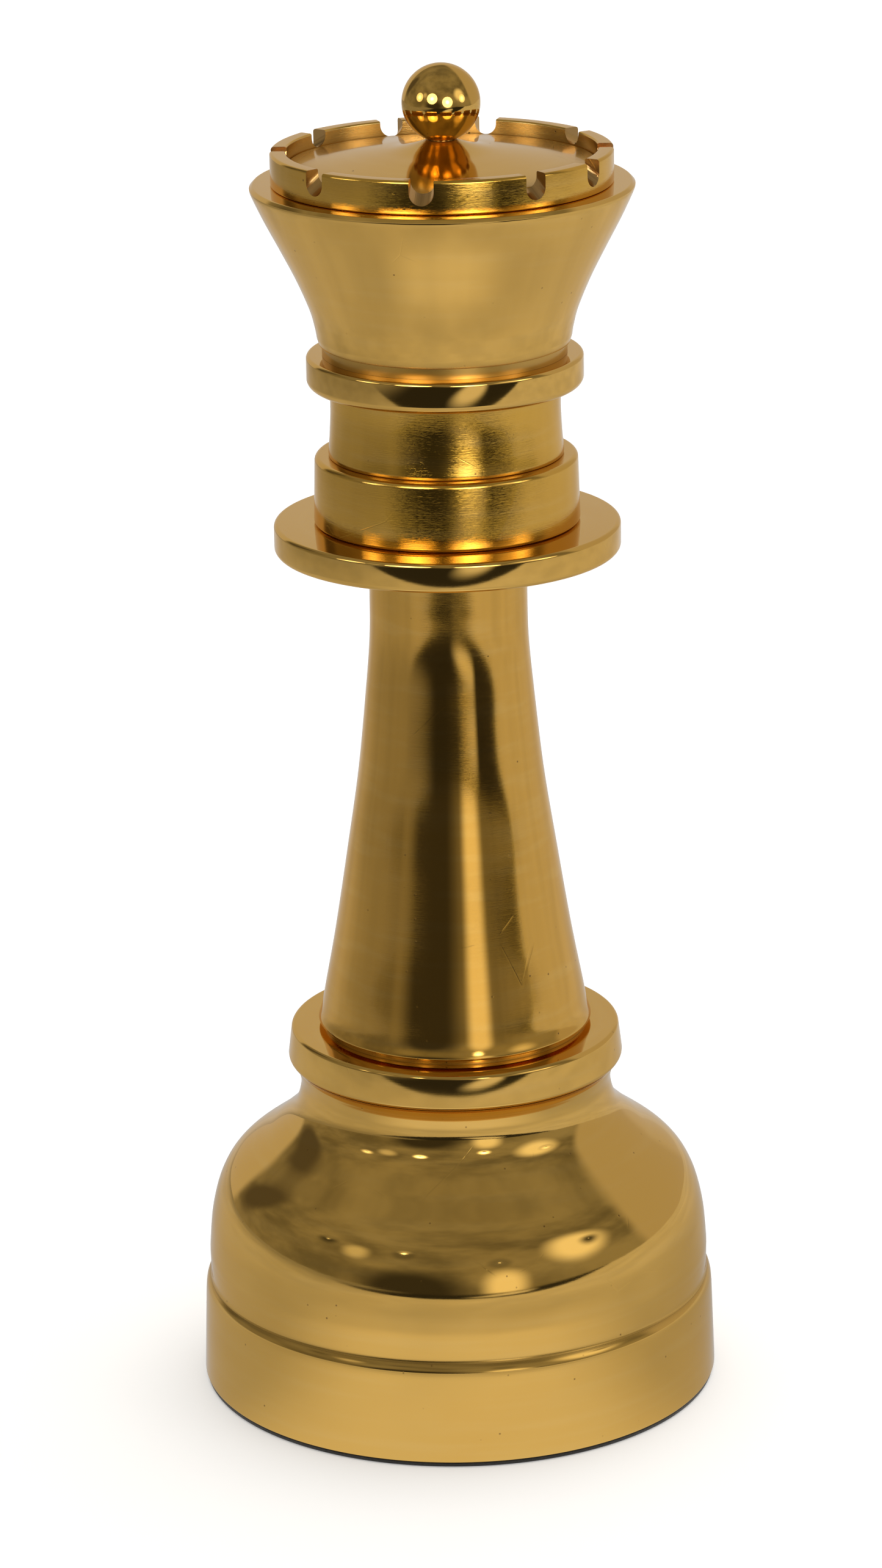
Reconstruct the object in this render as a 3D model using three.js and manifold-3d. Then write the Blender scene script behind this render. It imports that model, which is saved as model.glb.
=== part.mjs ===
// Giant chess queen: a stack of hollow turned brass sections drawn together by one long tie rod,
// which the ball on top screws on to. The foot is closed by a steel plate with a felt pad under it.
// Millimetres, +Z up. The origin is the centre of the felt's underside, and the front looks along -Y.
import * as THREE from "three";
import { mergeVertices } from "three/addons/utils/BufferGeometryUtils.js";
import Module from "manifold-3d";

// ---------- driving dimensions ----------
const HEIGHT = 600;
const GAP = 0.3; // clearance between pieces that touch
const SEGMENTS = 36; // flats round a turned piece, a multiple of four
const ARC_STEP = Math.PI / 5; // largest turn of a rounded corner that one short facet takes

// Heights of the joints, from the foot up.
const FELT_TOP = 1.8;
const PLINTH_TOP = 47.6;
const DOME_TOP = 150.6;
const COLLAR_TOP = 166.8;
const STEM_TOP = 386.3;
const FLANGE_TOP = 399.4;
const DRUM_TOP = 429.4;
const NECK_TOP = 460.2;
const UPPER_RING_TOP = 474.2;
const CUP_TOP = 549.0;
const LID_EDGE = 557.0;
const CROWN_TOP = 563.5;
const LID_PEAK = 567.2;
const BUSH_TOP = 567.5;

// Outer radii of the plain stretches.
const FOOT_RADIUS = 116.8;
const PLINTH_SHOULDER_RADIUS = 114.5;
const COLLAR_RADIUS = 75.2;
const STEM_RADIUS = 34.7;
const FLANGE_RADIUS = 75.9;
const DRUM_RADIUS = 57.9;
const NECK_RADIUS = 50.4;
const UPPER_RING_RADIUS = 60.2;
const RIM_RADIUS = 82.9;
const CROWN_RADIUS = 73.8;
const BALL_RADIUS = 16.9;

// Bores that locate one section in the next.
const PLINTH_REGISTER = 110;
const DOME_BORE = 66;
const COLLAR_BORE = 55;
const STEM_BORE = 31;
const DRUM_BORE = 53.5;
const DRUM_MOUTH = 47;
const NECK_BORE = 46.5;
const UPPER_RING_BORE = 40;
const CUP_MOUTH = 66.8;
const CROWN_BORE = 67.0;
const LID_THICKNESS = 4.5; // at the edge
const BUSH_RADIUS = 5.6;
const BUSH_SEAT = 561.5; // height of the ledge in the lid's bore that the bush stands on

// The crown's slots, cut by hand with one round-nosed cutter that was tipped down and outward.
const SLOT_ANGLES = [-7, 32, 60, 90, 122, 163, 199, 233, 268, 313]; // degrees from the front
const SLOT_WIDTH = 10;
const SLOT_FLOOR = 553; // height of a slot's floor at the crown's outer face
const SLOT_TILT = THREE.MathUtils.degToRad(30);

// Fasteners: an M8 tie rod with its nuts and washers, and four M5 countersunk screws.
const ROD_RADIUS = 4;
const ROD_BOTTOM = 8.6;
const ROD_TOP = 588;
const NUT_ACROSS_FLATS = 13;
const NUT_HEIGHT = 6.5;
const WASHER_RADIUS = 14;
const WASHER_THICKNESS = 1.6;
const SCREW_RADIUS = 2.5;
const SCREW_HEAD_RADIUS = 5;
const SCREW_LENGTH = 14;
const SCREW_COUNT = 4;
const SCREW_CIRCLE = 104.5; // radius of the circle the screws stand on

// Inside the foot.
const PLATE_THICKNESS = 3;
const PLATE_RADIUS = 111;
const BALLAST_RADIUS = 88;
const BALLAST_THICKNESS = 12;

// ---------- materials ----------
function metal(colour, roughness) {
  return new THREE.MeshStandardMaterial({ color: colour, roughness, metalness: 1 });
}

const brass = () => metal(0xc89b45, 0.18);
const steel = () => metal(0xa9adb0, 0.35);
const castIron = () => metal(0x4b4a48, 0.7);
const felt = () => new THREE.MeshStandardMaterial({ color: 0x161616, roughness: 1, metalness: 0 });

// ---------- shapes ----------
const queen = new THREE.Group();
queen.name = "chess_queen";

function addPart(name, geometry, material) {
  const mesh = new THREE.Mesh(geometry, material);
  mesh.name = name;
  queen.add(mesh);
}

// An outline corner is [radius, height] or [radius, height, rounding].
// Each corner with a rounding becomes an arc that is tangent to both of its sides.
function roundCorners(corners) {
  const points = [];
  const neighbour = (i) => {
    const [r, z] = corners.at(i % corners.length);
    return new THREE.Vector2(r, z);
  };
  corners.forEach(([r, z, rounding], i) => {
    const corner = new THREE.Vector2(r, z);
    if (!rounding) {
      points.push(corner);
      return;
    }
    const before = neighbour(i - 1).sub(corner).normalize();
    const after = neighbour(i + 1).sub(corner).normalize();
    const half = Math.acos(THREE.MathUtils.clamp(before.dot(after), -1, 1)) / 2;
    const centre = before.clone().add(after).normalize();
    centre.multiplyScalar(rounding / Math.sin(half)).add(corner);
    const tangent = rounding / Math.tan(half);
    const start = before.multiplyScalar(tangent).add(corner).sub(centre);
    const end = after.multiplyScalar(tangent).add(corner).sub(centre);
    const turn = Math.atan2(start.cross(end), start.dot(end));
    const steps = Math.ceil(Math.abs(turn) / ARC_STEP);
    for (let k = 0; k <= steps; k += 1) {
      points.push(start.clone().rotateAround(new THREE.Vector2(), (turn * k) / steps).add(centre));
    }
  });
  return points;
}

// A smooth stretch of outline through a few points, from the bottom up.
function flank(points, steps) {
  const curve = new THREE.SplineCurve(points.map(([r, z]) => new THREE.Vector2(r, z)));
  return curve.getPoints(steps).map((p) => [p.x, p.y]);
}

function spin(points, segments = SEGMENTS) {
  return new THREE.LatheGeometry(points, segments).rotateX(Math.PI / 2);
}

// A ring-shaped solid. Its corners run up the outside and then down the inside.
function turnedRing(corners) {
  const points = roundCorners(corners);
  points.push(points[0].clone());
  return spin(points);
}

// A solid that is closed on the axis. Its corners run from the axis, up the outside, to the axis.
function turnedSolid(corners) {
  return spin(roundCorners(corners));
}

function disc(radius, bottom, thickness) {
  const geometry = new THREE.CylinderGeometry(radius, radius, thickness, SEGMENTS);
  geometry.rotateX(Math.PI / 2);
  geometry.translate(0, 0, bottom + thickness / 2);
  return geometry;
}

// ---------- cutting ----------
const wasm = await Module();
wasm.setup();

function toManifold(geometry) {
  const bare = new THREE.BufferGeometry();
  bare.setAttribute("position", geometry.getAttribute("position"));
  bare.setIndex(geometry.getIndex());
  const merged = mergeVertices(bare, 1e-3);
  const index = merged.getIndex().array;
  const triangles = [];
  for (let k = 0; k < index.length; k += 3) {
    const [a, b, c] = index.slice(k, k + 3);
    const flat = a === b || b === c || c === a; // a triangle shrunk to a line on the axis
    if (!flat) triangles.push(a, b, c);
  }
  return new wasm.Manifold(new wasm.Mesh({
    numProp: 3,
    vertProperties: new Float32Array(merged.getAttribute("position").array),
    triVerts: new Uint32Array(triangles),
  }));
}

function cut(geometry, tools) {
  const whole = toManifold(geometry);
  const rest = tools.reduce((left, tool) => left.subtract(toManifold(tool)), whole);
  const mesh = rest.getMesh();
  const result = new THREE.BufferGeometry();
  result.setAttribute("position", new THREE.BufferAttribute(new Float32Array(mesh.vertProperties), 3));
  result.setIndex(new THREE.BufferAttribute(new Uint32Array(mesh.triVerts), 1));
  result.computeVertexNormals();
  return result;
}

// Moves a shape made at the centre out to each screw's place.
function atScrews(makeShape) {
  return Array.from({ length: SCREW_COUNT }, (_, k) => {
    const angle = ((k + 0.5) / SCREW_COUNT) * 2 * Math.PI;
    return makeShape().translate(SCREW_CIRCLE * Math.cos(angle), SCREW_CIRCLE * Math.sin(angle), 0);
  });
}

// ---------- foot ----------
const plateBottom = FELT_TOP + GAP;
const plateTop = plateBottom + PLATE_THICKNESS;
const plinthLedge = plateTop + GAP;
const ledgeBore = SCREW_CIRCLE - 6.5;
const plinthWeb = PLINTH_TOP - 5;
const ballastTop = plinthWeb - GAP;
const ballastBottom = ballastTop - BALLAST_THICKNESS;

function buildFeltPad() {
  addPart("felt_pad", disc(FOOT_RADIUS - 0.8, 0, FELT_TOP), felt());
}

// One M5 countersunk screw or, with a clearance, the hole that it stands in.
function screwShape(clearance) {
  const cone = SCREW_HEAD_RADIUS - SCREW_RADIUS;
  const top = plateBottom + SCREW_LENGTH + clearance;
  const points = roundCorners([
    [0, plateBottom - clearance],
    [SCREW_HEAD_RADIUS + 2 * clearance, plateBottom - clearance],
    [SCREW_RADIUS + clearance, plateBottom + cone],
    [SCREW_RADIUS + clearance, top],
    [0, top],
  ]);
  return spin(points, 16);
}

function buildBasePlate() {
  const plate = disc(PLATE_RADIUS, plateBottom, PLATE_THICKNESS);
  addPart("base_plate", cut(plate, atScrews(() => screwShape(GAP))), steel());
  atScrews(() => screwShape(0)).forEach((screw, k) => {
    addPart(`base_screw_${k + 1}`, screw, steel());
  });
}

function buildPlinth() {
  const shell = turnedRing([
    [PLATE_RADIUS + GAP, FELT_TOP + GAP],
    [FOOT_RADIUS, FELT_TOP + GAP, 0.8],
    [PLINTH_SHOULDER_RADIUS, PLINTH_TOP, 3.2],
    [PLINTH_REGISTER, PLINTH_TOP],
    [PLINTH_REGISTER, PLINTH_TOP + 5],
    [PLINTH_REGISTER - 3, PLINTH_TOP + 5],
    [PLINTH_REGISTER - 3, PLINTH_TOP],
    [BALLAST_RADIUS - 12, PLINTH_TOP],
    [BALLAST_RADIUS - 12, plinthWeb],
    [PLATE_RADIUS + GAP, plinthWeb],
    [PLATE_RADIUS + GAP, plinthLedge + 14],
    [ledgeBore, plinthLedge + 14],
    [ledgeBore, plinthLedge],
    [PLATE_RADIUS + GAP, plinthLedge],
  ]);
  addPart("plinth", cut(shell, atScrews(() => screwShape(GAP))), brass());
}

function buildBallast() {
  addPart("ballast", turnedRing([
    [BALLAST_RADIUS, ballastBottom, 1.5],
    [BALLAST_RADIUS, ballastTop, 1.5],
    [ROD_RADIUS + 0.8, ballastTop],
    [ROD_RADIUS + 0.8, ballastBottom],
  ]), castIron());
}

// ---------- body ----------
function buildBaseDome() {
  addPart("base_dome", turnedRing([
    [PLINTH_REGISTER + GAP, PLINTH_TOP + GAP],
    ...flank([
      [114.2, PLINTH_TOP + GAP],
      [113.4, 54],
      [113.1, 62],
      [111.3, 78.5],
      [107.2, 93],
      [99.8, 103.9],
      [84.2, 115.8],
      [73.4, 126.6],
      [69.8, 138.5],
      [71.4, 147.2],
      [73.6, DOME_TOP],
    ], 20),
    [DOME_BORE, DOME_TOP],
    [DOME_BORE, 134],
    [69.5, 125.5],
    [81, 113.5],
    [97, 101],
    [104.5, 90],
    [109, 74],
    [PLINTH_REGISTER + GAP, 60],
  ]), brass());
}

function buildLowerCollar() {
  const bottom = DOME_TOP + GAP;
  addPart("lower_collar", turnedRing([
    [DOME_BORE - 4, bottom - 8],
    [DOME_BORE - GAP, bottom - 8],
    [DOME_BORE - GAP, bottom],
    [COLLAR_RADIUS + 0.2, bottom, 2.4],
    [COLLAR_RADIUS - 1.5, COLLAR_TOP, 1.9],
    [COLLAR_BORE, COLLAR_TOP],
    [COLLAR_BORE, COLLAR_TOP - 5],
    [DOME_BORE - 4, COLLAR_TOP - 5],
  ]), brass());
}

function buildStem() {
  const bottom = COLLAR_TOP + GAP;
  addPart("stem", turnedRing([
    [COLLAR_BORE - 4, bottom - 10],
    [COLLAR_BORE - GAP, bottom - 10],
    [COLLAR_BORE - GAP, bottom],
    [59, bottom],
    [59, bottom + 1.6],
    [60.7, bottom + 2.6],
    ...flank([
      [61.1, bottom + 3.8],
      [58.3, 184],
      [52.7, 212],
      [46.7, 249],
      [41.2, 285],
      [37.2, 322],
      [35.1, 346],
      [STEM_RADIUS, 366],
      [STEM_RADIUS, STEM_TOP],
    ], 13),
    [STEM_BORE, STEM_TOP],
    [STEM_BORE, 350],
    [37.3, 285],
    [48.9, 212],
    [56.5, 178],
    [56.5, bottom + 4],
    [COLLAR_BORE - 4, bottom + 4],
  ]), brass());
}

function buildFlange() {
  const bottom = STEM_TOP + GAP;
  addPart("flange_disc", turnedRing([
    [STEM_BORE - 4, bottom - 6],
    [STEM_BORE - GAP, bottom - 6],
    [STEM_BORE - GAP, bottom],
    [FLANGE_RADIUS, bottom, 2.6],
    [FLANGE_RADIUS, FLANGE_TOP, 1.9],
    [DRUM_BORE - GAP, FLANGE_TOP],
    [DRUM_BORE - GAP, FLANGE_TOP + 5],
    [DRUM_BORE - 4, FLANGE_TOP + 5],
    [DRUM_BORE - 4, bottom + 4.5],
    [STEM_BORE - 4, bottom + 4.5],
  ]), brass());
}

function buildDrum() {
  const bottom = FLANGE_TOP + GAP;
  addPart("stepped_drum", turnedRing([
    [DRUM_BORE, bottom],
    [DRUM_RADIUS + 0.4, bottom, 1.8],
    [DRUM_RADIUS - 0.5, DRUM_TOP, 2.2],
    [DRUM_MOUTH, DRUM_TOP],
    [DRUM_MOUTH, DRUM_TOP - 4.5],
    [DRUM_BORE, DRUM_TOP - 4.5],
  ]), brass());
}

function buildNeck() {
  const bottom = DRUM_TOP + GAP;
  addPart("neck_sleeve", turnedRing([
    [DRUM_MOUTH - 3.5, bottom - 7],
    [DRUM_MOUTH - GAP, bottom - 7],
    [DRUM_MOUTH - GAP, bottom],
    [51.2, bottom, 0.5],
    ...flank([
      [51.4, bottom + 1.4],
      [NECK_RADIUS + 0.3, 438],
      [NECK_RADIUS - 0.3, 450],
      [NECK_RADIUS, NECK_TOP],
    ], 4),
    [NECK_BORE, NECK_TOP],
    [NECK_BORE, bottom + 3],
    [DRUM_MOUTH - 3.5, bottom + 3],
  ]), brass());
}

function buildUpperRing() {
  const bottom = NECK_TOP + GAP;
  addPart("upper_ring", turnedRing([
    [NECK_BORE - 3.5, bottom - 6],
    [NECK_BORE - GAP, bottom - 6],
    [NECK_BORE - GAP, bottom],
    [UPPER_RING_RADIUS, bottom, 3.6],
    [UPPER_RING_RADIUS, UPPER_RING_TOP, 1.7],
    [UPPER_RING_BORE, UPPER_RING_TOP],
    [UPPER_RING_BORE, bottom + 4],
    [NECK_BORE - 3.5, bottom + 4],
  ]), brass());
}

// ---------- head ----------
const cupFloor = UPPER_RING_TOP + GAP + 6.5;

function buildCup() {
  const bottom = UPPER_RING_TOP + GAP;
  addPart("cup", turnedRing([
    [UPPER_RING_BORE - 4, bottom - 6],
    [UPPER_RING_BORE - GAP, bottom - 6],
    [UPPER_RING_BORE - GAP, bottom],
    [53.2, bottom],
    [53.2, 478.8],
    [54.8, 479.6],
    ...flank([
      [55, 481],
      [55.6, 487],
      [58.4, 495],
      [63.9, 508.2],
      [70.5, 521.4],
      [77.2, 534.3],
      [82.2, 545],
      [RIM_RADIUS, 547.6],
    ], 9),
    [RIM_RADIUS - 1.4, CUP_TOP],
    [CUP_MOUTH, CUP_TOP],
    [CUP_MOUTH, 545],
    [74, 537],
    [55, 498],
    [49.5, 486],
    [49.5, cupFloor],
    [ROD_RADIUS + 0.5, cupFloor],
    [ROD_RADIUS + 0.5, cupFloor - 5],
    [UPPER_RING_BORE - 4, cupFloor - 5],
  ]), brass());
}

// A slot cutter lying along +X: flat sides, a round nose at the bottom, and tipped down and outward.
function slotCutter(degrees) {
  const half = SLOT_WIDTH / 2;
  const length = 24;
  const section = new THREE.Shape();
  section.moveTo(-half, 20);
  section.lineTo(-half, half);
  section.absarc(0, half, half, Math.PI, 2 * Math.PI, false);
  section.lineTo(half, 20);
  section.closePath();
  const settings = { depth: length, bevelEnabled: false, curveSegments: 5 };
  const cutter = new THREE.ExtrudeGeometry(section, settings);
  cutter.rotateX(Math.PI / 2).rotateZ(Math.PI / 2).translate(-length / 2, 0, 0);
  cutter.rotateY(SLOT_TILT).translate(CROWN_RADIUS, 0, SLOT_FLOOR);
  return cutter.rotateZ(THREE.MathUtils.degToRad(degrees - 90));
}

function buildCrownRing() {
  const bottom = CUP_TOP + GAP;
  const lidSeat = LID_EDGE - LID_THICKNESS - GAP;
  const ring = turnedRing([
    [CUP_MOUTH - 5, bottom - 4],
    [CUP_MOUTH - GAP, bottom - 4],
    [CUP_MOUTH - GAP, bottom],
    [CROWN_RADIUS, bottom, 0.8],
    [CROWN_RADIUS, CROWN_TOP, 1.3],
    [CROWN_BORE, CROWN_TOP, 0.9],
    [CROWN_BORE, lidSeat],
    [CUP_MOUTH - 5, lidSeat],
  ]);
  addPart("crown_ring", cut(ring, SLOT_ANGLES.map(slotCutter)), brass());
}

// The lid's top rises as a low dome and then as a small flare up to the ball.
function buildLid() {
  const bottom = LID_EDGE - LID_THICKNESS;
  addPart("lid", turnedRing([
    [52, bottom],
    [CROWN_BORE - GAP, bottom],
    [CROWN_BORE - GAP, LID_EDGE - 0.4],
    ...flank([
      [CROWN_BORE - GAP - 0.4, LID_EDGE],
      [50, 559.3],
      [33, 561.6],
      [22, 563],
      [14, 564.7],
      [9, 566.2],
      [BUSH_RADIUS + 1, LID_PEAK],
    ], 12),
    [BUSH_RADIUS + GAP, LID_PEAK],
    [BUSH_RADIUS + GAP, BUSH_SEAT],
    [ROD_RADIUS + 0.5, BUSH_SEAT],
    [ROD_RADIUS + 0.5, BUSH_SEAT - 3],
    [14, BUSH_SEAT - 3],
  ]), brass());
}

// The ball bears on the bush's top end, and the bush presses the lid down on to the crown ring's seat.
function buildLidBush() {
  addPart("lid_bush", turnedRing([
    [ROD_RADIUS + 0.5, BUSH_SEAT + GAP],
    [BUSH_RADIUS, BUSH_SEAT + GAP],
    [BUSH_RADIUS, BUSH_TOP],
    [ROD_RADIUS + 0.5, BUSH_TOP],
  ]), brass());
}

function buildBall() {
  const centre = HEIGHT - BALL_RADIUS;
  const flatAngle = Math.asin((BUSH_TOP + GAP - centre) / BALL_RADIUS);
  const latitudes = 12;
  const sphere = Array.from({ length: latitudes + 1 }, (_, k) => {
    const angle = THREE.MathUtils.lerp(flatAngle, Math.PI / 2, k / latitudes);
    return [BALL_RADIUS * Math.cos(angle), centre + BALL_RADIUS * Math.sin(angle)];
  });
  addPart("finial_ball", turnedSolid([
    [0, ROD_TOP + 1.5],
    [ROD_RADIUS + GAP, ROD_TOP + 1.5],
    [ROD_RADIUS + GAP, BUSH_TOP + GAP],
    ...sphere.slice(0, -1),
    [0, HEIGHT],
  ]), brass());
}

// ---------- tie rod and its fasteners ----------
function nut(bottom) {
  const corner = NUT_ACROSS_FLATS / 2 / Math.cos(Math.PI / 6);
  const hexagon = new THREE.Shape(Array.from({ length: 6 }, (_, k) => {
    return new THREE.Vector2(corner, 0).rotateAround(new THREE.Vector2(), (k * Math.PI) / 3);
  }));
  hexagon.holes.push(new THREE.Path().absarc(0, 0, ROD_RADIUS + GAP, 0, 2 * Math.PI, true));
  const settings = { depth: NUT_HEIGHT, bevelEnabled: false, curveSegments: 16 };
  return new THREE.ExtrudeGeometry(hexagon, settings).translate(0, 0, bottom);
}

function washer(bottom) {
  return turnedRing([
    [ROD_RADIUS + 0.5, bottom],
    [WASHER_RADIUS, bottom],
    [WASHER_RADIUS, bottom + WASHER_THICKNESS],
    [ROD_RADIUS + 0.5, bottom + WASHER_THICKNESS],
  ]);
}

function buildTieRod() {
  const rod = new THREE.CylinderGeometry(ROD_RADIUS, ROD_RADIUS, ROD_TOP - ROD_BOTTOM, 16);
  rod.rotateX(Math.PI / 2).translate(0, 0, (ROD_TOP + ROD_BOTTOM) / 2);
  addPart("tie_rod", rod, steel());

  const baseWasher = ballastBottom - GAP - WASHER_THICKNESS;
  addPart("base_washer", washer(baseWasher), steel());
  addPart("base_nut", nut(baseWasher - GAP - NUT_HEIGHT), steel());

  const clampWasher = cupFloor + GAP;
  addPart("clamp_washer", washer(clampWasher), steel());
  addPart("clamp_nut", nut(clampWasher + WASHER_THICKNESS + GAP), steel());
}

buildFeltPad();
buildBasePlate();
buildPlinth();
buildBallast();
buildBaseDome();
buildLowerCollar();
buildStem();
buildFlange();
buildDrum();
buildNeck();
buildUpperRing();
buildCup();
buildCrownRing();
buildLid();
buildLidBush();
buildBall();
buildTieRod();

export default queen;
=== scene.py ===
"""Looks for the giant brass chess queen: every turned section as a finely rounded spun surface."""
import math

import bpy
from mathutils import Matrix, Vector


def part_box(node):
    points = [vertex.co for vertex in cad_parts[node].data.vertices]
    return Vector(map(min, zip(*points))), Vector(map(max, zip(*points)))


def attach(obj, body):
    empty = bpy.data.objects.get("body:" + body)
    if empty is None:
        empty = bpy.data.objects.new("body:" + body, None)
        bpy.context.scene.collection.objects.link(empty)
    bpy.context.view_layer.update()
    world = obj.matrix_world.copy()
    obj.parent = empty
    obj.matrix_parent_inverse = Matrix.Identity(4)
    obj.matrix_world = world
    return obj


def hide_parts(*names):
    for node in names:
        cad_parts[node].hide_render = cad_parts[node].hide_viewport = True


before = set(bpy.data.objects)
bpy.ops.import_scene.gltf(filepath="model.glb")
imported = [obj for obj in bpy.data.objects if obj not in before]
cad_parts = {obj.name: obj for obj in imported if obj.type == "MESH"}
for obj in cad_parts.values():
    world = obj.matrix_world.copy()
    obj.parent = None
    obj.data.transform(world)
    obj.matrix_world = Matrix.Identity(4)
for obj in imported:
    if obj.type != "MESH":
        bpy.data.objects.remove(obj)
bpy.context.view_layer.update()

MM = 0.001
GAP = 0.3  # mm between touching sections in the CAD
SEAM = 0.05  # mm that shows of that gap, as the real sections are drawn tight together
TURN_STEPS = 200  # facets round a turned surface
ARC_STEP = math.radians(7)  # turn of a rounded corner that one facet takes
SHARP_ANGLE = math.radians(32)  # edges that turn more than this stay sharp
JOINT_DUST_AND_SHADE_FADE = 1.1  # mm from a joint over which the dust and the painted shade in it thin out
PLINTH_BORE = 111.3
CROWN_INNER = 67.0
LID_THICKNESS = 4.5  # at its edge
SLOT_HALF_WIDTH = 5.0
SLOT_FLOOR = 553.0  # height of a slot's floor at the crown's outer face
SLOT_TILT = 30.0  # degrees that a slot's floor climbs towards the middle
SLOTS = [-7, 32, 60, 90, 122, 163, 199, 233, 268, 313]  # degrees from the front towards +X, cut by hand


# ---------- sizes from the frame, in millimetres ----------
def low(node):
    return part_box(node)[0].z / MM


def high(node):
    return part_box(node)[1].z / MM


def radius(node):
    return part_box(node)[1].x / MM


FELT_TOP = high("felt_pad")
PLINTH_TOP = low("base_dome") - GAP
DOME_TOP = high("base_dome")
COLLAR_TOP = high("lower_collar")
STEM_TOP = high("stem")
FLANGE_TOP = low("stepped_drum") - GAP
DRUM_TOP = high("stepped_drum")
NECK_TOP = high("neck_sleeve")
UPPER_RING_TOP = high("upper_ring")
CUP_TOP = high("cup")
LID_EDGE = low("lid") + LID_THICKNESS
LID_PEAK = high("lid")
CROWN_TOP = high("crown_ring")
BUSH_TOP = high("lid_bush")
BALL_TOP = high("finial_ball")


# ---------- outlines ----------
def rounded(corners):
    """Corners are (radius, height) or (radius, height, rounding); a rounding becomes a tangent arc."""
    points = []
    for i, (r, z, *rounding) in enumerate(corners):
        corner = Vector((r, z))
        if not rounding:
            points.append(corner)
            continue
        before = (Vector(corners[i - 1][:2]) - corner).normalized()
        after = (Vector(corners[(i + 1) % len(corners)][:2]) - corner).normalized()
        half = before.angle(after) / 2
        centre = corner + (before + after).normalized() * rounding[0] / math.sin(half)
        start = corner + before * rounding[0] / math.tan(half) - centre
        end = corner + after * rounding[0] / math.tan(half) - centre
        turn = -start.angle_signed(end)
        steps = math.ceil(abs(turn) / ARC_STEP)
        for k in range(steps + 1):
            points.append(centre + Matrix.Rotation(turn * k / steps, 2) @ start)
    return points


def flank(points, steps):
    """A smooth stretch of outline through a few points (uniform Catmull-Rom)."""
    known = [Vector(p) for p in points]
    known = [known[0]] + known + [known[-1]]
    spans = len(points) - 1
    result = []
    for k in range(steps + 1):
        place = min(k * spans / steps, spans - 1e-9)
        i = int(place)
        t = place - i
        a, b, c, d = known[i:i + 4]
        p = 0.5 * (2 * b + (c - a) * t + (2 * a - 5 * b + 4 * c - d) * t**2 + (3 * b - a - 3 * c + d) * t**3)
        result.append((p.x, p.y))
    return result


def arc_angles(first, last, steps):
    """Evenly spaced angles in radians from first to last, given in degrees."""
    return [math.radians(first + (last - first) * k / steps) for k in range(steps + 1)]


# ---------- spun meshes ----------
def finish_mesh(name, node, mesh, materials):
    """Makes the object that stands for one CAD node, with its sharp edges kept."""
    for material in materials:
        mesh.materials.append(material)
    mesh.validate()
    mesh.shade_smooth()
    mesh.set_sharp_from_angle(angle=SHARP_ANGLE)
    piece = bpy.data.objects.new(name, mesh)
    bpy.context.scene.collection.objects.link(piece)
    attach(piece, "root")
    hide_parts(node)
    return piece


def spun_mesh(name, outline, closed, joints=()):
    """Spins an outline round Z. UV is (turns, metres along the outline), and the point attribute for dust
    and painted shade is 1 at the heights in joints, fading over a millimetre or two."""
    points = rounded(outline)
    if closed:
        points = points + [points[0]]
    along = [0.0]
    for p, q in zip(points, points[1:]):
        along.append(along[-1] + (q - p).length * MM)
    columns = []
    vertices = []
    joint_dust_and_shade = []
    for i, p in enumerate(points):
        if closed and i == len(points) - 1:
            columns.append(columns[0])
            continue
        on_axis = abs(p.x) < 1e-6
        count = 1 if on_axis else TURN_STEPS
        first = len(vertices)
        for k in range(count):
            angle = 2 * math.pi * k / TURN_STEPS
            vertices.append((p.x * MM * math.sin(angle), -p.x * MM * math.cos(angle), p.y * MM))
            # dust and painted shade in the joints: 1 at a joint's height
            joint_dust_and_shade.append(max([math.exp(-abs(p.y - z) / JOINT_DUST_AND_SHADE_FADE) for z in joints], default=0.0))
        columns.append([first + (0 if on_axis else k) for k in range(TURN_STEPS)])
    faces = []
    uvs = []
    for i in range(len(points) - 1):
        for k in range(TURN_STEPS):
            j = (k + 1) % TURN_STEPS
            corners = [
                (columns[i][k], k, i),
                (columns[i][j], k + 1, i),
                (columns[i + 1][j], k + 1, i + 1),
                (columns[i + 1][k], k, i + 1),
            ]
            kept = [c for n, c in enumerate(corners) if c[0] != corners[n - 1][0]]
            faces.append([c[0] for c in kept])
            uvs.extend((c[1] / TURN_STEPS, along[c[2]]) for c in kept)
    mesh = bpy.data.meshes.new(name)
    mesh.from_pydata(vertices, [], faces)
    layer = mesh.uv_layers.new(name="turning")
    layer.data.foreach_set("uv", [x for uv in uvs for x in uv])
    attribute = mesh.attributes.new("joint_dust_and_shade", "FLOAT", "POINT")
    attribute.data.foreach_set("value", joint_dust_and_shade)
    return mesh


def spun(name, outline, material, closed=True, joints=()):
    """A spun piece named after the CAD node it stands for."""
    mesh = spun_mesh(name, outline, closed, joints)
    piece = finish_mesh(f"{name}_look", name, mesh, [material])
    return piece


def bake_modifiers(piece):
    """Turns what the modifiers make into the piece's own mesh."""
    graph = bpy.context.evaluated_depsgraph_get()
    mesh = bpy.data.meshes.new_from_object(piece.evaluated_get(graph), depsgraph=graph)
    piece.modifiers.clear()
    piece.data = mesh


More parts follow.
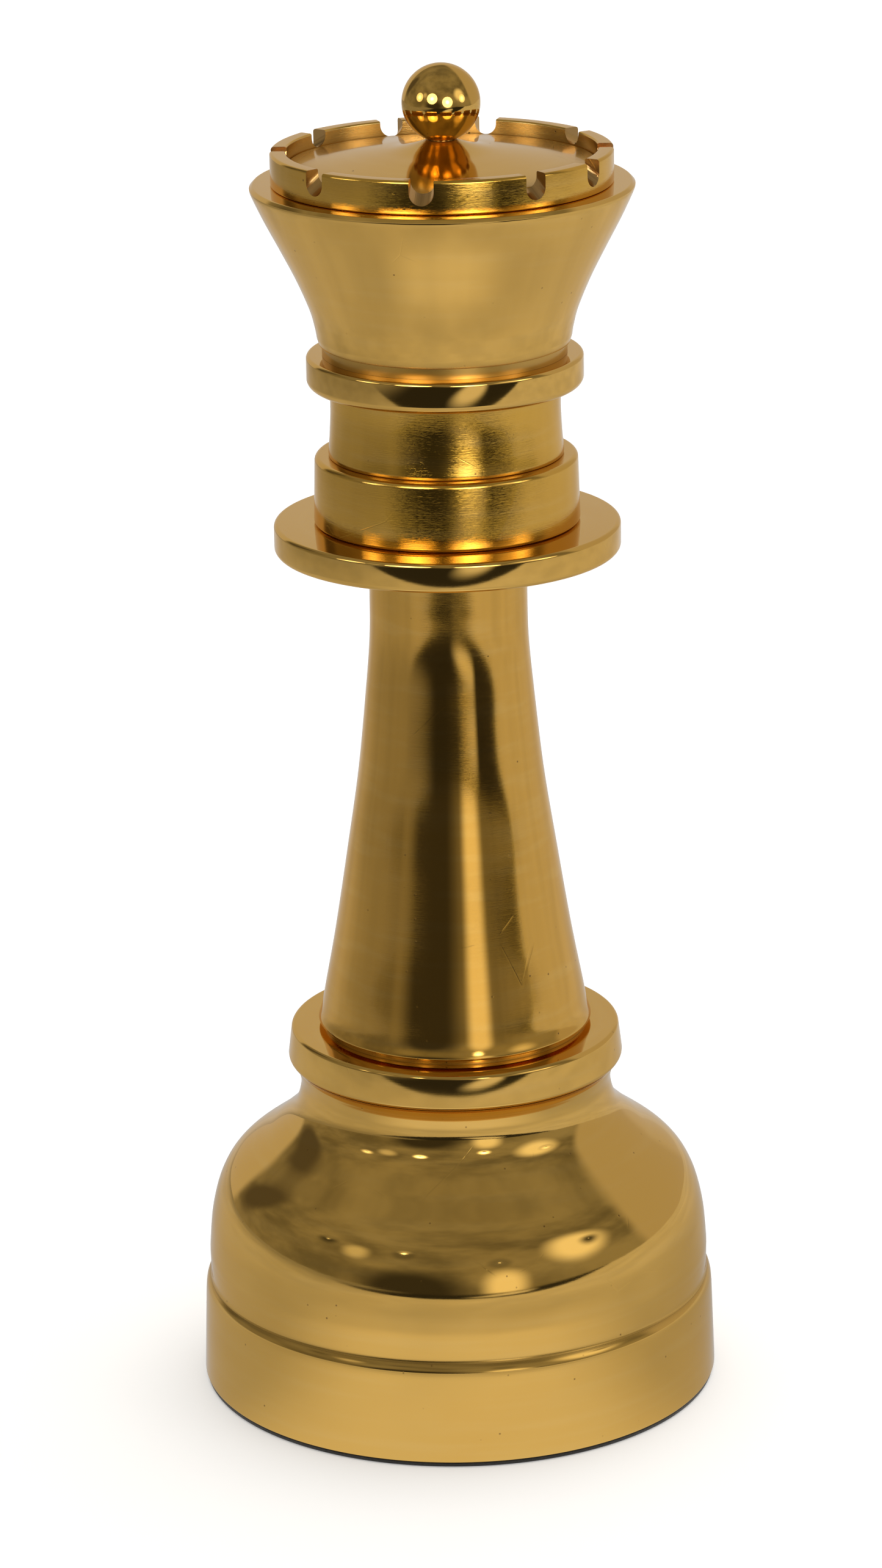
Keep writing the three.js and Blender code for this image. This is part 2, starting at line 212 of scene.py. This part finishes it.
# ---------- materials ----------
class Nodes:
    """Short calls for building a node tree."""

    def __init__(self, tree):
        self.tree = tree

    def add(self, kind, inputs=None, **settings):
        node = self.tree.nodes.new(kind)
        for name, value in settings.items():
            setattr(node, name, value)
        for name, value in (inputs or {}).items():
            self.put(node.inputs[name], value)
        return node

    def put(self, socket, value):
        if isinstance(value, bpy.types.NodeSocket):
            self.tree.links.new(value, socket)
        else:
            socket.default_value = value

    def math(self, operation, *values):
        node = self.tree.nodes.new("ShaderNodeMath")
        node.operation = operation
        for socket, value in zip(node.inputs, values):
            self.put(socket, value)
        return node.outputs[0]

    def ramp(self, value, start, end, low=0.0, high=1.0):
        node = self.add("ShaderNodeMapRange", {
            "Value": value, "From Min": start, "From Max": end, "To Min": low, "To Max": high,
        }, interpolation_type="SMOOTHSTEP")
        return node.outputs["Result"]

    def mix(self, factor, first, second):
        node = self.tree.nodes.new("ShaderNodeMix")
        node.data_type = "RGBA"
        self.put(node.inputs["Factor"], factor)
        self.put(node.inputs[6], first)
        self.put(node.inputs[7], second)
        return node.outputs[2]

    def noise(self, vector, scale, detail=2.0, roughness=0.5):
        node = self.add("ShaderNodeTexNoise", {
            "Vector": vector, "Scale": scale, "Detail": detail, "Roughness": roughness,
        })
        return node.outputs["Fac"]


def new_material(name):
    material = bpy.data.materials.new(name)
    material.use_nodes = True
    tree = material.node_tree
    tree.nodes.clear()
    nodes = Nodes(tree)
    shader = nodes.add("ShaderNodeBsdfPrincipled")
    output = nodes.add("ShaderNodeOutputMaterial")
    tree.links.new(shader.outputs["BSDF"], output.inputs["Surface"])
    return material, nodes, shader


BRASS = (0.72, 0.44, 0.10, 1)
BRASS_WARM = (0.68, 0.385, 0.07, 1)
BRASS_PALE = (0.74, 0.475, 0.135, 1)
BRASS_DEEP = (0.70, 0.405, 0.06, 1)
BRASS_MATT = (0.66, 0.46, 0.17, 1)
BRASS_PINK = (0.52, 0.31, 0.12, 1)
BRASS_EDGE = (0.93, 0.82, 0.62, 1)  # what glances off at a flat angle
# the dark of tarnish in pits, also used for the painted shade in the joints
TARNISH_AND_SHADE = (0.16, 0.08, 0.02, 1)


def brass(name, roughness, anisotropy, lines, tint=BRASS, pits=1.0):
    """Lacquered yellow brass. lines is the depth of the turning marks."""
    patina = 0.35
    material, n, shader = new_material(name)
    place = n.add("ShaderNodeTexCoord").outputs["Object"]
    along = n.add("ShaderNodeSeparateXYZ", {
        "Vector": n.add("ShaderNodeUVMap", uv_map="turning").outputs["UV"],
    }).outputs["Y"]
    flat = n.add("ShaderNodeVectorMath", {0: place, 1: (1, 1, 0)}, operation="MULTIPLY").outputs[0]
    around = n.add("ShaderNodeSeparateXYZ", {
        "Vector": n.add("ShaderNodeVectorMath", {0: flat}, operation="NORMALIZE").outputs[0],
    })

    def turning(round_scale, along_scale):
        """Coordinates in which a noise becomes streaks that run round the piece."""
        return n.add("ShaderNodeCombineXYZ", {
            "X": n.math("MULTIPLY", around.outputs["X"], round_scale),
            "Y": n.math("MULTIPLY", around.outputs["Y"], round_scale),
            "Z": n.math("MULTIPLY", along, along_scale),
        }).outputs[0]

    fine = n.noise(turning(5, 3200), 1.0, 3.0, 0.7)
    broad = n.noise(turning(1.2, 160), 1.0, 2.0)
    cloud = n.noise(place, 14.0, 4.0, 0.6)
    cell = n.add("ShaderNodeTexVoronoi", {"Vector": place, "Scale": 240.0, "Randomness": 1.0})
    spot = n.ramp(cell.outputs["Distance"], 0.0, 0.17, 1.0, 0.0)
    lot = n.add("ShaderNodeSeparateColor", {"Color": cell.outputs["Color"]})
    chosen = n.ramp(lot.outputs["Red"], 0.935, 0.95)
    pit = n.math("MULTIPLY", n.math("MULTIPLY", spot, chosen), pits)
    crack = n.add("ShaderNodeTexVoronoi", {
        "Vector": place, "Scale": 21.0, "Randomness": 1.0,
    }, feature="DISTANCE_TO_EDGE").outputs["Distance"]
    hairline = n.math(
        "MULTIPLY",
        n.ramp(crack, 0.0015, 0.006, 1.0, 0.0),
        n.ramp(n.noise(place, 33.0, 1.0), 0.62, 0.7),
    )
    # the mask of dust and painted shade in the joints
    joint_dust_and_shade = n.add("ShaderNodeAttribute", attribute_name="joint_dust_and_shade").outputs["Fac"]

    colour = n.mix(n.ramp(cloud, 0.35, 0.75, 0.0, patina), tint, BRASS_WARM)
    colour = n.mix(n.ramp(broad, 0.45, 0.75, 0.0, patina), colour, BRASS_PALE)
    colour = n.mix(pit, colour, TARNISH_AND_SHADE)
    # painted shade: darkens the colour at the joints, along with the dust in them
    colour = n.mix(n.math("MULTIPLY", joint_dust_and_shade, 0.3), colour, TARNISH_AND_SHADE)
    n.put(shader.inputs["Base Color"], colour)
    shader.inputs["Metallic"].default_value = 1.0
    shader.inputs["Anisotropic"].default_value = anisotropy
    shader.inputs["Anisotropic Rotation"].default_value = 0.25
    shader.inputs["Specular Tint"].default_value = BRASS_EDGE
    shader.inputs["Coat Weight"].default_value = 0.3
    shader.inputs["Coat Roughness"].default_value = 0.03
    n.put(shader.inputs["Tangent"], n.add("ShaderNodeTangent", direction_type="RADIAL", axis="Z").outputs[0])

    uneven = 0.35 * roughness  # the most that marks and patina each add
    dull = n.math(
        "ADD",
        n.ramp(fine, 0.3, 0.8, 0.0, uneven),
        n.ramp(cloud, 0.4, 0.8, 0.0, uneven),
    )
    dull = n.math("ADD", dull, n.math("MULTIPLY", n.math("ADD", pit, joint_dust_and_shade), 0.3))
    n.put(shader.inputs["Roughness"], n.math("ADD", dull, roughness))

    height = n.math("MULTIPLY", fine, lines)
    height = n.math("ADD", height, n.math("MULTIPLY", broad, 0.6 * lines))
    height = n.math("ADD", height, n.math("MULTIPLY", n.noise(place, 26.0, 2.0), 1.2))
    height = n.math("SUBTRACT", height, n.math("MULTIPLY", n.math("ADD", pit, hairline), 0.8))
    bump = n.add("ShaderNodeBump", {"Height": height, "Strength": 0.35, "Distance": 0.00008})
    n.put(shader.inputs["Normal"], bump.outputs["Normal"])
    return material


polished = brass("brass_polished", roughness=0.04, anisotropy=0.0, lines=0.06)
buffed = brass("brass_buffed", roughness=0.085, anisotropy=0.0, lines=0.1, pits=2.0)
turned = brass("brass_turned", roughness=0.06, anisotropy=0.5, lines=0.2, tint=BRASS_WARM)
brushed = brass("brass_brushed", roughness=0.05, anisotropy=0.45, lines=1.3, tint=BRASS_DEEP)
milled = brass("brass_milled", roughness=0.2, anisotropy=0.0, lines=1.6, tint=BRASS_MATT, pits=3.0)
sawn = brass("brass_sawn", roughness=0.2, anisotropy=0.0, lines=2.0, tint=BRASS_PINK, pits=3.0)


def plain_metal(name, colour, dark, roughness, grain):
    """Zinc-plated steel or cast iron for the fasteners and plates inside."""
    material, n, shader = new_material(name)
    place = n.add("ShaderNodeTexCoord").outputs["Object"]
    cloud = n.noise(place, grain, 5.0, 0.65)
    n.put(shader.inputs["Base Color"], n.mix(n.ramp(cloud, 0.35, 0.7), colour, dark))
    shader.inputs["Metallic"].default_value = 1.0
    n.put(shader.inputs["Roughness"], n.ramp(cloud, 0.3, 0.7, roughness, roughness + 0.2))
    bump = n.add("ShaderNodeBump", {"Height": cloud, "Strength": 0.4, "Distance": 0.0002})
    n.put(shader.inputs["Normal"], bump.outputs["Normal"])
    return material


def felt_material():
    material, n, shader = new_material("felt_black")
    place = n.add("ShaderNodeTexCoord").outputs["Object"]
    fibre = n.noise(place, 900.0, 6.0, 0.75)
    clump = n.noise(place, 60.0, 3.0)
    n.put(shader.inputs["Base Color"], n.mix(fibre, (0.006, 0.006, 0.006, 1), (0.03, 0.029, 0.028, 1)))
    n.put(shader.inputs["Roughness"], n.ramp(clump, 0.3, 0.7, 0.85, 1.0))
    shader.inputs["Sheen Weight"].default_value = 0.4
    height = n.math("ADD", fibre, clump)
    bump = n.add("ShaderNodeBump", {"Height": height, "Strength": 0.8, "Distance": 0.0005})
    n.put(shader.inputs["Normal"], bump.outputs["Normal"])
    return material


# ---------- the foot ----------
def make_felt_pad():
    edge = radius("felt_pad")
    outline = [(0, 0), (edge, 0, 0.5), (edge, FELT_TOP, 0.5), (0, FELT_TOP)]
    mesh = spun_mesh("felt_pad", outline, closed=False)
    piece = finish_mesh("felt_pad_look", "felt_pad", mesh, [felt_material()])


def make_plinth():
    foot = radius("plinth")
    spun("plinth", [
        (PLINTH_BORE, FELT_TOP + GAP),
        (foot, FELT_TOP + GAP, 0.8),
        (115.4, 40),
        *flank([
            (115.2, 42.4),
            (114.9, 44.4),
            (114.2, 46.2),
            (113.3, PLINTH_TOP),
        ], 18),
        (110, PLINTH_TOP),
        (110, PLINTH_TOP + 5),
        (107, PLINTH_TOP + 5),
        (107, PLINTH_TOP - 5),
        (PLINTH_BORE, PLINTH_TOP - 5),
    ], polished, joints=[PLINTH_TOP])


def make_base_dome():
    spun("base_dome", [
        (110.3, PLINTH_TOP + SEAM),
        *flank([
            (113.3, PLINTH_TOP + SEAM),
            (112.85, 49.3),
            (112.9, 52.5),
            (113, 57),
            (112.9, 63),
            (111.3, 78.5),
            (107.2, 93),
            (99.8, 103.9),
            (84.2, 115.8),
            (73.4, 126.6),
            (69.8, 138.5),
            (71.4, 147.2),
            (73.6, DOME_TOP),
        ], 110),
        (66, DOME_TOP),
        (66, 134),
        (81, 113.5),
        (104.5, 90),
        (110.3, 60),
    ], polished, joints=[PLINTH_TOP, DOME_TOP])


# ---------- the body ----------
def make_lower_collar():
    bottom = DOME_TOP + SEAM
    spun("lower_collar", [
        (62, bottom),
        (75.4, bottom, 2.4),
        (73.4, COLLAR_TOP, 1.9),
        (55, COLLAR_TOP),
        (55, COLLAR_TOP - 5),
        (62, COLLAR_TOP - 5),
    ], polished, joints=[bottom])


def make_stem():
    bottom = COLLAR_TOP + SEAM
    spun("stem", [
        (56.5, bottom),
        (59, bottom),
        (59, bottom + 1.6),
        *flank([
            (60.9, bottom + 2.6),
            (61.1, bottom + 3.6),
            (59.6, 175.5),
            (57.6, 186),
            (52.7, 212),
            (46.7, 249),
            (41.2, 285),
            (37.2, 322),
            (35.1, 346),
            (34.7, 366),
            (34.7, STEM_TOP),
        ], 110),
        (31, STEM_TOP),
        (31, 350),
        (37.3, 285),
        (48.9, 212),
        (56.5, 178),
    ], turned, joints=[bottom, STEM_TOP])


def make_flange():
    bottom = STEM_TOP + SEAM
    edge = radius("flange_disc")
    spun("flange_disc", [
        (27, bottom),
        (edge, bottom, 2.6),
        (edge, FLANGE_TOP, 1.9),
        (49.5, FLANGE_TOP),
        (49.5, bottom + 4.5),
        (27, bottom + 4.5),
    ], polished)


def make_drum():
    bottom = FLANGE_TOP + SEAM
    spun("stepped_drum", [
        (53.5, bottom),
        (58.3, bottom, 1.8),
        (57.4, DRUM_TOP, 2.2),
        (47, DRUM_TOP),
        (47, DRUM_TOP - 4.5),
        (53.5, DRUM_TOP - 4.5),
    ], brushed, joints=[bottom])


def make_neck():
    bottom = DRUM_TOP + SEAM
    spun("neck_sleeve", [
        (46.5, bottom),
        (51.2, bottom, 0.5),
        *flank([(51.4, bottom + 1.4), (50.7, 438), (50.1, 450), (50.4, NECK_TOP)], 24),
        (46.5, NECK_TOP),
    ], brushed, joints=[bottom, NECK_TOP])


def make_upper_ring():
    bottom = NECK_TOP + SEAM
    edge = radius("upper_ring")
    spun("upper_ring", [
        (40, bottom),
        (edge, bottom, 3.6),
        (edge, UPPER_RING_TOP, 1.7),
        (40, UPPER_RING_TOP),
    ], polished, joints=[bottom])


# ---------- the head ----------
def make_cup():
    bottom = UPPER_RING_TOP + SEAM
    rim = radius("cup")
    spun("cup", [
        (36, bottom),
        (53.2, bottom),
        (53.2, 478.8),
        (54.5, 479.4),
        *flank([
            (55.3, 482),
            (56.2, 487),
            (58.4, 495),
            (63.9, 508.2),
            (70.5, 521.4),
            (77.2, 534.3),
            (82.2, 545),
            (rim, 547.6),
        ], 60),
        (rim - 1.4, CUP_TOP, 1.0),
        (66.8, CUP_TOP),
        (66.8, 545),
        (74, 537),
        (55, 498),
        (49.5, 486),
        (49.5, bottom + 6.5),
        (36, bottom + 6.5),
    ], polished, joints=[bottom, 479])


def slot_cutter(angle, half, floor):
    """A round-bottomed milling cut through the crown ring whose floor climbs towards the middle."""
    nose = [(half * math.sin(a), floor + half - half * math.cos(a)) for a in arc_angles(-90, 90, 20)]
    section = [(-half, CROWN_TOP + 20)] + nose + [(half, CROWN_TOP + 20)]
    outer = radius("crown_ring")
    climb = math.tan(math.radians(SLOT_TILT))
    turn = Matrix.Rotation(math.radians(angle), 3, "Z")
    vertices = []
    for out in (outer + 8, CROWN_INNER - 8):
        for side, z in section:
            vertices.append(turn @ Vector((side, -out, z + (outer - out) * climb)) * MM)
    count = len(section)
    faces = [list(range(count)), list(range(2 * count - 1, count - 1, -1))]
    faces += [[(k + 1) % count, k, count + k, count + (k + 1) % count] for k in range(count)]
    return vertices, faces


def make_crown_ring():
    """The low ring round the lid, with its ten hand-cut slots."""
    bottom = CUP_TOP + SEAM
    edge = radius("crown_ring")
    crown_looks = [brushed, milled, polished, sawn]
    mesh = spun_mesh("crown_ring", [
        (62.5, bottom),
        (edge, bottom, 0.8),
        (edge, CROWN_TOP, 1.3),
        (CROWN_INNER, CROWN_TOP, 0.9),
        (CROWN_INNER, LID_EDGE - 5),
        (62.5, LID_EDGE - 5),
    ], closed=True)
    piece = finish_mesh("crown_ring_look", "crown_ring", mesh, crown_looks)
    for face in mesh.polygons:
        across = math.hypot(face.center.x, face.center.y) / MM
        inside = across < CROWN_INNER + 0.1
        face.material_index = crown_looks.index(milled if inside else brushed)
    cutters = []
    for k, angle in enumerate(SLOTS):
        half = SLOT_HALF_WIDTH + 0.25 * math.cos(3 * k)  # no two slots are quite the same
        floor = SLOT_FLOOR + 0.3 * math.sin(5 * k)
        vertices, faces = slot_cutter(angle, half, floor)
        cutter_mesh = bpy.data.meshes.new("slot_cutter")
        cutter_mesh.from_pydata(vertices, [], faces)
        for material in crown_looks:
            cutter_mesh.materials.append(material)
        for face in cutter_mesh.polygons:
            face.material_index = crown_looks.index(sawn)
        cutter = bpy.data.objects.new("slot_cutter", cutter_mesh)
        bpy.context.scene.collection.objects.link(cutter)
        cutters.append(cutter)
        cut = piece.modifiers.new("slot", "BOOLEAN")
        cut.object = cutter
        cut.solver = "EXACT"
    soften = piece.modifiers.new("worn_edges", "BEVEL")
    soften.width = 0.55 * MM
    soften.segments = 3
    soften.angle_limit = math.radians(35)
    soften.material = crown_looks.index(polished)
    soften.harden_normals = True
    bake_modifiers(piece)
    for cutter in cutters:
        bpy.data.objects.remove(cutter)


def make_lid():
    """Its top rises as a low dome and then as a small flare up to the ball."""
    edge = radius("lid")
    spun("lid", [
        (52, low("lid")),
        (edge, low("lid")),
        (edge, LID_EDGE - 0.4),
        *flank([
            (edge - 0.4, LID_EDGE),
            (50, 559.3),
            (33, 561.6),
            (22, 563),
            (14, 564.7),
            (9, 566.2),
            (6.6, LID_PEAK),
        ], 70),
        (5.9, LID_PEAK),
        (5.9, 558.5),
        (14, 558.5),
    ], buffed, joints=[LID_EDGE, LID_PEAK])
    bush = radius("lid_bush")
    spun("lid_bush", [
        (4.5, low("lid_bush")),
        (bush, low("lid_bush")),
        (bush, BUSH_TOP, 0.2),
        (4.5, BUSH_TOP),
    ], polished)


def make_ball():
    ball = radius("finial_ball")
    centre = BALL_TOP - ball
    start = math.asin((BUSH_TOP + GAP - centre) / ball)
    steps = 64
    angles = [start + (math.pi / 2 - start) * k / steps for k in range(steps)]
    spun("finial_ball", [
        (0, BALL_TOP - 10.5),
        (4.3, BALL_TOP - 10.5),
        (4.3, BUSH_TOP + GAP),
        *[(ball * math.cos(a), centre + ball * math.sin(a)) for a in angles],
        (0, BALL_TOP),
    ], polished, closed=False)


make_felt_pad()
make_plinth()
make_base_dome()
make_lower_collar()
make_stem()
make_flange()
make_drum()
make_neck()
make_upper_ring()
make_cup()
make_crown_ring()
make_lid()
make_ball()

steel = plain_metal("steel_zinc", (0.62, 0.63, 0.65, 1), (0.45, 0.46, 0.48, 1), 0.25, 160)
iron = plain_metal("iron_cast", (0.12, 0.115, 0.11, 1), (0.06, 0.056, 0.052, 1), 0.5, 400)
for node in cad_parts.values():
    if not node.hide_render:
        node.data.materials.clear()
        node.data.materials.append(iron if node.name == "ballast" else steel)


# ---------- the studio ----------
def stage_mesh(name, vertices, faces, material):
    mesh = bpy.data.meshes.new(name)
    mesh.from_pydata(vertices, [], faces)
    mesh.materials.append(material)
    thing = bpy.data.objects.new(name, mesh)
    bpy.context.scene.collection.objects.link(thing)
    return thing


def glowing(name, colour, strength):
    """A stage material that only gives light."""
    material, n, shader = new_material(name)
    shader.inputs["Base Color"].default_value = (0, 0, 0, 1)
    shader.inputs["Specular IOR Level"].default_value = 0.0
    n.put(shader.inputs["Emission Color"], colour)
    n.put(shader.inputs["Emission Strength"], strength)
    return material, n, shader


def make_floor():
    """The pale floor the camera sees, under an even overhead light."""
    material, n, shader = new_material("studio_floor")
    place = n.add("ShaderNodeTexCoord").outputs["Object"]
    tone = n.noise(place, 3.0, 2.0)
    n.put(shader.inputs["Base Color"], n.mix(tone, (0.79, 0.785, 0.78, 1), (0.81, 0.805, 0.80, 1)))
    shader.inputs["Roughness"].default_value = 0.9
    shader.inputs["Specular IOR Level"].default_value = 0.0
    shader.inputs["Emission Color"].default_value = (1.0, 0.995, 0.99, 1)
    shader.inputs["Emission Strength"].default_value = 0.34
    below = -0.2 * MM  # clear of the felt's underside
    floor = stage_mesh("floor", [
        (-14, -14, below), (14, -14, below), (14, 14, below), (-14, 14, below),
    ], [(0, 1, 2, 3)], material)
    floor.visible_glossy = False
    lamp = bpy.data.lights.new("overhead", "SUN")
    lamp.energy = 2.2
    lamp.angle = math.radians(70)
    overhead = bpy.data.objects.new("overhead", lamp)
    bpy.context.scene.collection.objects.link(overhead)
    overhead.rotation_euler = (math.radians(-12), math.radians(6), 0)
    overhead.visible_glossy = False


def make_table_glow():
    """The floor that only reflections see: a lit table that ends at its front edge, and past that
    a patch of lamp light in front and to the right."""
    material, n, shader = glowing("table_glow", (1.0, 0.98, 0.97, 1), 1.0)
    place = n.add("ShaderNodeTexCoord").outputs["Object"]
    part = n.add("ShaderNodeSeparateXYZ", {"Vector": place})
    reach = n.add("ShaderNodeVectorMath", {0: place}, operation="LENGTH").outputs["Value"]
    frontness = n.math("DIVIDE", part.outputs["Y"], reach)
    in_front = n.ramp(frontness, -0.95, -0.3, 1.0, 0.0)
    brighter = n.math("MULTIPLY", in_front, n.ramp(reach, 0.25, 0.42, 0.28, 0.03))
    table = n.math("ADD", n.ramp(reach, 0.15, 0.8, 0.55, 0.68), brighter)
    leftwards = n.ramp(part.outputs["X"], -2.2, 0.2, 0.5, 1.0)
    tone = n.ramp(n.noise(place, 2.5, 3.0), 0.3, 0.7, 0.92, 1.08)
    edge = n.ramp(part.outputs["Y"], -1.25, -1.2)
    lit = n.math("MULTIPLY", n.math("MULTIPLY", table, leftwards), n.math("MULTIPLY", tone, edge))
    across_patch = n.add("ShaderNodeMapping", {
        "Vector": place,
        "Location": (0.95, -2.25, 0),
        "Rotation": (0, 0, math.radians(-41)),
        "Scale": (1.2, 0.5, 1),
    }, vector_type="TEXTURE").outputs["Vector"]
    from_patch = n.add("ShaderNodeVectorMath", {0: across_patch}, operation="LENGTH").outputs["Value"]
    patch = n.ramp(from_patch, 0.5, 1.05, 0.85, 0.0)
    dark = n.ramp(part.outputs["X"], -2.4, -1.1, 0.32, 0.03)
    beyond = n.math("SUBTRACT", 1.0, edge)
    front = n.math("MULTIPLY", n.math("ADD", patch, dark), beyond)
    n.put(shader.inputs["Emission Strength"], n.math("ADD", lit, front))
    glow = stage_mesh("table_glow", [
        (-4, -4, 0.0002), (4, -4, 0.0002), (4, 4, 0.0002), (-4, 4, 0.0002),
    ], [(0, 1, 2, 3)], material)
    glow.visible_camera = False
    glow.visible_diffuse = False
    glow.visible_shadow = False


def make_umbrella(name, azimuth, elevation, half_angle, strength, core):
    """A silver umbrella, part of a sphere about the finial ball, which only reflections see. It is
    aimed: its hot middle hardly reaches below the stem's foot, and the rest only the head of the piece."""
    material, n, shader = glowing(f"light_{name}", (1.0, 0.97, 0.9, 1), 1.0)
    distance = 2.3
    facing = n.add("ShaderNodeLayerWeight", {"Blend": 0.5}).outputs["Facing"]
    halo = n.ramp(facing, 0.002, 0.013, 1.0, 0.0)
    flat = n.add("ShaderNodeVectorMath", {
        0: n.add("ShaderNodeTexCoord").outputs["Object"], 1: (1, 1, 0),
    }, operation="MULTIPLY").outputs[0]
    off_axis = n.add("ShaderNodeVectorMath", {0: flat}, operation="LENGTH").outputs["Value"]
    aimed = n.ramp(facing, 0.0155, 0.02, 1.0, 0.02)
    middle = n.ramp(off_axis, 0.02, 0.3, 1.0, 0.0)
    n.put(shader.inputs["Emission Strength"], n.math(
        "ADD",
        n.math("MULTIPLY", halo, strength),
        n.math("MULTIPLY", n.math("MULTIPLY", middle, aimed), core),
    ))
    clear = n.add("ShaderNodeBsdfTransparent")
    blend = n.add("ShaderNodeMixShader", {
        0: n.math("MAXIMUM", halo, middle), 1: clear.outputs[0], 2: shader.outputs[0],
    })
    output = next(node for node in material.node_tree.nodes if node.type == "OUTPUT_MATERIAL")
    n.put(output.inputs["Surface"], blend.outputs[0])
    sides = 24
    rings = 6
    vertices = []
    for ring in range(rings + 1):
        polar = math.radians(half_angle) * (0.02 + 0.98 * ring / rings)
        for k in range(sides):
            around = 2 * math.pi * k / sides
            vertices.append((
                distance * math.sin(polar) * math.cos(around),
                distance * math.sin(polar) * math.sin(around),
                distance * math.cos(polar),
            ))
    faces = []
    for ring in range(rings):
        for k in range(sides):
            j = (k + 1) % sides
            first = ring * sides
            faces.append((first + k, first + sides + k, first + sides + j, first + j))
    lamp = stage_mesh(name, vertices, faces, material)
    lamp.data.shade_smooth()
    aim = direction_of(azimuth, elevation).to_track_quat("Z", "Y").to_matrix().to_4x4()
    lamp.matrix_world = Matrix.Translation((0, 0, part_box("finial_ball")[0].z)) @ aim
    lamp.visible_camera = False
    lamp.visible_diffuse = False
    lamp.visible_shadow = False


def direction_of(azimuth, elevation):
    """A direction from its angle from the front towards +X and its angle above the floor."""
    a = math.radians(azimuth)
    e = math.radians(elevation)
    return Vector((math.sin(a) * math.cos(e), -math.cos(a) * math.cos(e), math.sin(e)))


def make_world():
    """A dim room with a white backdrop behind and on the right, and the dark end where the camera is."""
    world = bpy.data.worlds.new("studio")
    bpy.context.scene.world = world
    world.use_nodes = True
    world.node_tree.nodes.clear()
    n = Nodes(world.node_tree)
    direction = n.add("ShaderNodeTexCoord").outputs["Generated"]

    def lobe(azimuth, elevation, inner, outer, squeeze=1.0):
        """1 within inner degrees of a direction, 0 past outer degrees; squeeze flattens it."""
        aim = direction_of(azimuth, elevation)
        away = n.add("ShaderNodeVectorMath", {0: direction, 1: aim}, operation="SUBTRACT")
        shaped = n.add("ShaderNodeVectorMath", {
            0: away.outputs[0], 1: (1, 1, squeeze),
        }, operation="MULTIPLY")
        length = n.add("ShaderNodeVectorMath", {0: shaped.outputs[0]}, operation="LENGTH").outputs["Value"]
        chord = [2 * math.sin(math.radians(a) / 2) for a in (inner, outer)]
        return n.ramp(length, chord[0], chord[1], 1.0, 0.0)

    stretched = n.add("ShaderNodeVectorMath", {
        0: direction, 1: (1.4, 1.4, 2.5),
    }, operation="MULTIPLY")
    mottle = n.ramp(n.noise(stretched.outputs[0], 1.0, 4.0, 0.55), 0.3, 0.7)
    light = n.mix(mottle, (0.17, 0.16, 0.135, 1), (0.37, 0.35, 0.30, 1))
    light = n.mix(lobe(135, 12, 38, 46, 1.15), light, (0.56, 0.52, 0.47, 1))
    light = n.mix(lobe(-170, 5, 34, 40, 1.3), light, (0.63, 0.60, 0.57, 1))
    light = n.mix(lobe(-124, 25, 6, 13, 0.4), light, (0.11, 0.10, 0.09, 1))
    light = n.mix(lobe(-22, -2, 14, 34, 1.6), light, (0.05, 0.047, 0.042, 1))
    light = n.mix(lobe(60, 24, 7, 20), light, (1.25, 1.2, 1.1, 1))
    light = n.mix(lobe(21, 2, 4, 14, 0.9), light, (1.2, 1.15, 1.05, 1))
    light = n.mix(lobe(-52, 25, 2, 9), light, (0.75, 0.72, 0.65, 1))
    seen = n.add("ShaderNodeLightPath").outputs["Is Camera Ray"]
    background = n.add("ShaderNodeBackground", {"Color": n.mix(seen, light, (1.0, 0.998, 0.995, 1))})
    output = n.add("ShaderNodeOutputWorld")
    world.node_tree.links.new(background.outputs[0], output.inputs["Surface"])


def make_camera():
    """At the photograph's viewing angle: about waist high, looking down, and held a little askew."""
    data = bpy.data.cameras.new("camera")
    data.sensor_width = 36
    data.lens = 123.1
    camera = bpy.data.objects.new("camera", data)
    bpy.context.scene.collection.objects.link(camera)
    camera.matrix_world = (
        Matrix.Translation((-0.0046, -2.2678, 1.0004))
        @ Matrix.Rotation(math.radians(90 - 17.6735), 4, "X")
        @ Matrix.Rotation(math.radians(-0.9138), 4, "Z")
    )
    bpy.context.scene.camera = camera


make_floor()
make_table_glow()
make_umbrella("umbrella_left", -27, 19, 15, 4.0, 9.0)
make_umbrella("umbrella_right", 19, 9.5, 15, 4.0, 12.0)
make_umbrella("umbrella_far_left", -68, 17, 11, 1.8, 3.0)
make_umbrella("umbrella_far_right", 66, 13, 10, 1.8, 3.0)
make_world()
make_camera()
bpy.context.scene.view_settings.view_transform = "Standard"
